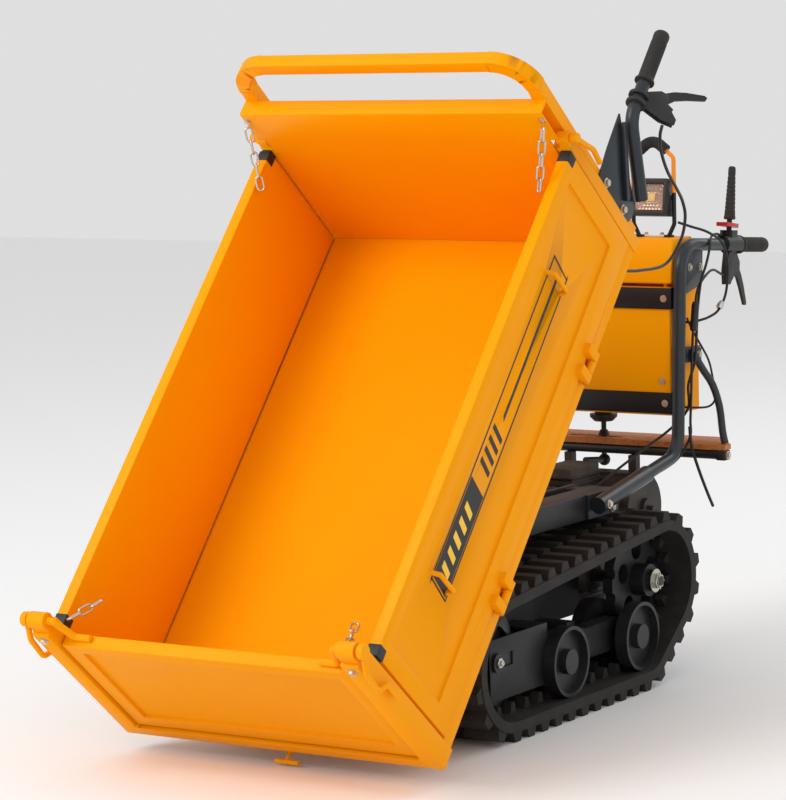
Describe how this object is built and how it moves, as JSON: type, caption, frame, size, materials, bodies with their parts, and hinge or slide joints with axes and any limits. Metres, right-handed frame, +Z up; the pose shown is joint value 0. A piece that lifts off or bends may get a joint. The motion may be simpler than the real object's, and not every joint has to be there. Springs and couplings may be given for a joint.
{
  "type": "power wheelbarrow",
  "caption": "Tracked battery-electric mini dumper with a forward-tipping drop-side skip, walk-behind handlebars, a battery box and a wooden rear board.",
  "frame": {"origin": "on the ground under the middle of the whole machine, with the skip fully tipped", "axes": "+Z up, +Y towards the handlebars (rear), -Y the way it drives and tips, +X the machine's left side"},
  "size_m": [0.8748, 2.0148, 1.4431],
  "materials": {
    "orange_paint": "gloss powder coat",
    "dark_paint": "satin",
    "black_frame": "satin",
    "belt_rubber": "matt",
    "wheel_steel": "painted black",
    "gear_alloy": "cast, dusty",
    "motor_steel": "satin",
    "plastic_black": "moulded",
    "battery_case": "moulded",
    "red_plastic": "moulded",
    "board_wood": "brown film-faced plywood",
    "grip_rubber": "ribbed",
    "cable_jacket": "smooth",
    "zinc": "zinc plated",
    "lens": "clear"
  },
  "bodies": {
    "chassis": {"chassis_frame": "black_frame", "track_beam_left": "black_frame", "track_beam_right": "black_frame", "belt_left": "belt_rubber", "belt_right": "belt_rubber", "gearbox": "gear_alloy", "drive_motor": "motor_steel", "motor_controller": "plastic_black", "battery_box": "orange_paint", "batteries": "battery_case", "box_bands": "black_frame", "control_hood": "orange_paint", "rear_board": "board_wood", "board_frame": "dark_paint", "handle_left": "dark_paint", "handle_right": "dark_paint", "handle_sockets": "dark_paint", "handle_grips": "grip_rubber", "handle_braces": "dark_paint", "lever_perches": "plastic_black", "control_cables": "cable_jacket", "lamp_frame": "orange_paint", "chassis_bolts": "zinc"},
    "skip": {"skip_frame": "orange_paint", "headboard": "orange_paint", "corner_blocks": "plastic_black", "skip_chains": "zinc", "tip_handle": "dark_paint", "tip_cable": "cable_jacket", "skip_bolts": "zinc"},
    "work_lamp": {"lamp_housing": "plastic_black", "lamp_lens": "lens"},
    "tensioner_left": {"tensioner_left": "zinc"},
    "tensioner_right": {"tensioner_right": "zinc"},
    "idler_left": {"idler_left": "wheel_steel"},
    "idler_right": {"idler_right": "wheel_steel"},
    "sprocket_left": {"sprocket_left": "wheel_steel"},
    "sprocket_right": {"sprocket_right": "wheel_steel"},
    "front_roller_left": {"front_roller_left": "wheel_steel"},
    "front_roller_right": {"front_roller_right": "wheel_steel"},
    "rear_roller_left": {"rear_roller_left": "wheel_steel"},
    "rear_roller_right": {"rear_roller_right": "wheel_steel"},
    "key_switch": {"key_switch": "zinc"},
    "stop_button": {"stop_button": "red_plastic"},
    "gear_lever": {"gear_lever": "plastic_black"},
    "drive_lever_left": {"drive_lever_left": "plastic_black"},
    "drive_lever_right": {"drive_lever_right": "plastic_black"},
    "lever_lock": {"lever_lock": "red_plastic"},
    "brake_lever_left": {"brake_lever_left": "plastic_black"},
    "brake_lever_right": {"brake_lever_right": "plastic_black"},
    "side_board_left": {"side_board_left": "orange_paint"},
    "side_board_right": {"side_board_right": "orange_paint"},
    "tailgate": {"tailgate": "orange_paint"},
    "gate_pin": {"gate_pin": "orange_paint"},
    "gate_handle_left": {"gate_handle_left": "orange_paint"},
    "gate_handle_right": {"gate_handle_right": "orange_paint"},
    "side_latch_left": {"side_latch_left": "orange_paint"},
    "side_latch_right": {"side_latch_right": "orange_paint"},
    "tip_lever": {"tip_lever": "plastic_black"},
    "tip_catch": {"tip_catch": "zinc"}
  },
  "joints": [
    {"name": "skip_tip", "type": "hinge", "parent": "chassis", "child": "skip", "pos_m": [-0.035, -0.269, 0.4], "axis": [1, 0, 0], "range_deg": [-49.4, 0]},
    {"name": "side_board_left_fold", "type": "hinge", "parent": "skip", "child": "side_board_left", "pos_m": [0.355, -0.51478, 0.27613], "axis": [0, 0.6508, 0.7593], "range_deg": [0, 100]},
    {"name": "side_board_right_fold", "type": "hinge", "parent": "skip", "child": "side_board_right", "pos_m": [-0.425, -0.51478, 0.27613], "axis": [0, 0.6508, 0.7593], "range_deg": [-100, 0]},
    {"name": "tailgate_swing", "type": "hinge", "parent": "skip", "child": "tailgate", "pos_m": [-0.035, -0.99051, 0.32037], "axis": [1, 0, 0], "range_deg": [-100, 0]},
    {"name": "gate_pin_lift", "type": "slide", "parent": "skip", "child": "gate_pin", "axis": [0, -0.7593, 0.6508], "range_m": [0, 0.014]},
    {"name": "gate_handle_left_turn", "type": "hinge", "parent": "skip", "child": "gate_handle_left", "pos_m": [0.36, -0.99051, 0.32037], "axis": [1, 0, 0], "range_deg": [-60, 0]},
    {"name": "gate_handle_right_turn", "type": "hinge", "parent": "skip", "child": "gate_handle_right", "pos_m": [-0.43, -0.99051, 0.32037], "axis": [1, 0, 0], "range_deg": [-60, 0]},
    {"name": "side_latch_left_turn", "type": "hinge", "parent": "skip", "child": "side_latch_left", "pos_m": [0.348, -0.15762, 1.22911], "axis": [1, 0, 0], "range_deg": [0, 60]},
    {"name": "side_latch_right_turn", "type": "hinge", "parent": "skip", "child": "side_latch_right", "pos_m": [-0.418, -0.15762, 1.22911], "axis": [1, 0, 0], "range_deg": [0, 60]},
    {"name": "tip_catch_swing", "type": "hinge", "parent": "skip", "child": "tip_catch", "pos_m": [-0.035, -0.04297, 0.75284], "axis": [1, 0, 0], "range_deg": [-30, 0]},
    {"name": "sprocket_left_spin", "type": "hinge", "parent": "chassis", "child": "sprocket_left", "pos_m": [0.18, 0.381, 0.228], "axis": [1, 0, 0], "continuous": true},
    {"name": "tensioner_left_adjust", "type": "slide", "parent": "chassis", "child": "tensioner_left", "axis": [0, 1, 0], "range_m": [0, 0.015]},
    {"name": "idler_left_spin", "type": "hinge", "parent": "tensioner_left", "child": "idler_left", "pos_m": [0.18, -0.281, 0.16], "axis": [1, 0, 0], "continuous": true},
    {"name": "front_roller_left_spin", "type": "hinge", "parent": "chassis", "child": "front_roller_left", "pos_m": [0.18, -0.019, 0.118], "axis": [1, 0, 0], "continuous": true},
    {"name": "rear_roller_left_spin", "type": "hinge", "parent": "chassis", "child": "rear_roller_left", "pos_m": [0.18, 0.298, 0.118], "axis": [1, 0, 0], "continuous": true},
    {"name": "sprocket_right_spin", "type": "hinge", "parent": "chassis", "child": "sprocket_right", "pos_m": [-0.25, 0.381, 0.228], "axis": [1, 0, 0], "continuous": true},
    {"name": "tensioner_right_adjust", "type": "slide", "parent": "chassis", "child": "tensioner_right", "axis": [0, 1, 0], "range_m": [0, 0.015]},
    {"name": "idler_right_spin", "type": "hinge", "parent": "tensioner_right", "child": "idler_right", "pos_m": [-0.25, -0.281, 0.16], "axis": [1, 0, 0], "continuous": true},
    {"name": "front_roller_right_spin", "type": "hinge", "parent": "chassis", "child": "front_roller_right", "pos_m": [-0.25, -0.019, 0.118], "axis": [1, 0, 0], "continuous": true},
    {"name": "rear_roller_right_spin", "type": "hinge", "parent": "chassis", "child": "rear_roller_right", "pos_m": [-0.25, 0.298, 0.118], "axis": [1, 0, 0], "continuous": true},
    {"name": "drive_lever_left_swing", "type": "hinge", "parent": "chassis", "child": "drive_lever_left", "pos_m": [0.205, 0.82773, 0.96352], "axis": [1, 0, 0], "range_deg": [-30, 0], "stiffness_Nm_per_rad": 2, "springref_deg": 2.86},
    {"name": "brake_lever_left_squeeze", "type": "hinge", "parent": "chassis", "child": "brake_lever_left", "pos_m": [0.205, 0.85232, 0.88755], "axis": [1, 0, 0], "range_deg": [0, 32], "stiffness_Nm_per_rad": 1, "springref_deg": -11.46},
    {"name": "drive_lever_right_swing", "type": "hinge", "parent": "chassis", "child": "drive_lever_right", "pos_m": [-0.275, 0.82773, 0.96352], "axis": [1, 0, 0], "range_deg": [-30, 0], "stiffness_Nm_per_rad": 2, "springref_deg": 2.86},
    {"name": "brake_lever_right_squeeze", "type": "hinge", "parent": "chassis", "child": "brake_lever_right", "pos_m": [-0.275, 0.85232, 0.88755], "axis": [1, 0, 0], "range_deg": [0, 32], "stiffness_Nm_per_rad": 1, "springref_deg": -11.46},
    {"name": "lever_lock_slide", "type": "slide", "parent": "drive_lever_left", "child": "lever_lock", "axis": [0, 0.1415, 0.9899], "range_m": [0, 0.008]},
    {"name": "tip_lever_squeeze", "type": "hinge", "parent": "skip", "child": "tip_lever", "pos_m": [0.37664, 0.1859, 1.29292], "axis": [0.766, -0.4881, 0.4183], "range_deg": [0, 32], "stiffness_Nm_per_rad": 1, "springref_deg": -11.46},
    {"name": "stop_button_press", "type": "slide", "parent": "chassis", "child": "stop_button", "axis": [0, -1, 0], "range_m": [0, 0.004], "stiffness_N_per_m": 800},
    {"name": "key_turn", "type": "hinge", "parent": "chassis", "child": "key_switch", "pos_m": [-0.155, 0.719, 0.884], "axis": [0, 1, 0], "range_deg": [0, 90]},
    {"name": "work_lamp_tilt", "type": "hinge", "parent": "chassis", "child": "work_lamp", "pos_m": [0.113, 0.636, 1.058], "axis": [1, 0, 0], "range_deg": [-25, 25]},
    {"name": "gear_lever_shift", "type": "hinge", "parent": "chassis", "child": "gear_lever", "pos_m": [-0.051, 0.681, 0.445], "axis": [0, 1, 0], "range_deg": [-8, 8]}
  ],
  "couplings": [
    {"joint": "idler_left_spin", "follows": "sprocket_left_spin", "ratio": 0.96124},
    {"joint": "front_roller_left_spin", "follows": "sprocket_left_spin", "ratio": 1.4253},
    {"joint": "rear_roller_left_spin", "follows": "sprocket_left_spin", "ratio": 1.4253},
    {"joint": "idler_right_spin", "follows": "sprocket_right_spin", "ratio": 0.96124},
    {"joint": "front_roller_right_spin", "follows": "sprocket_right_spin", "ratio": 1.4253},
    {"joint": "rear_roller_right_spin", "follows": "sprocket_right_spin", "ratio": 1.4253}
  ]
}
